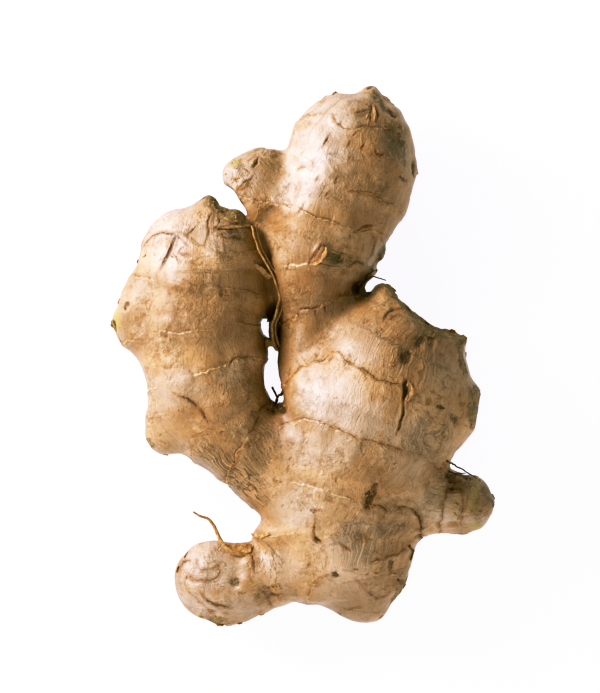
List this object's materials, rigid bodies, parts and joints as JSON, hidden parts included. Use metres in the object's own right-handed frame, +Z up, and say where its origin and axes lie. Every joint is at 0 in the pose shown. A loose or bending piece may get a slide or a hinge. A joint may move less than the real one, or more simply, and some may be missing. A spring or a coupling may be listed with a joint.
{
  "type": "ginger root",
  "caption": "Fresh ginger root: one branched rhizome of fat, ringed fingers in thin tan skin, lying flat on a surface.",
  "frame": {"origin": "on the surface that the root lies on, under the middle of its bounding box", "axes": "+Y towards the tips of the two long fingers, +Z up from the surface, +X to the right seen from above"},
  "size_m": [0.1026, 0.1461, 0.0399],
  "materials": {
    "ginger_skin": "dry papery tan skin with a soft satin sheen"
  },
  "bodies": {
    "root": {"rhizome": "ginger_skin"}
  },
  "joints": []
}
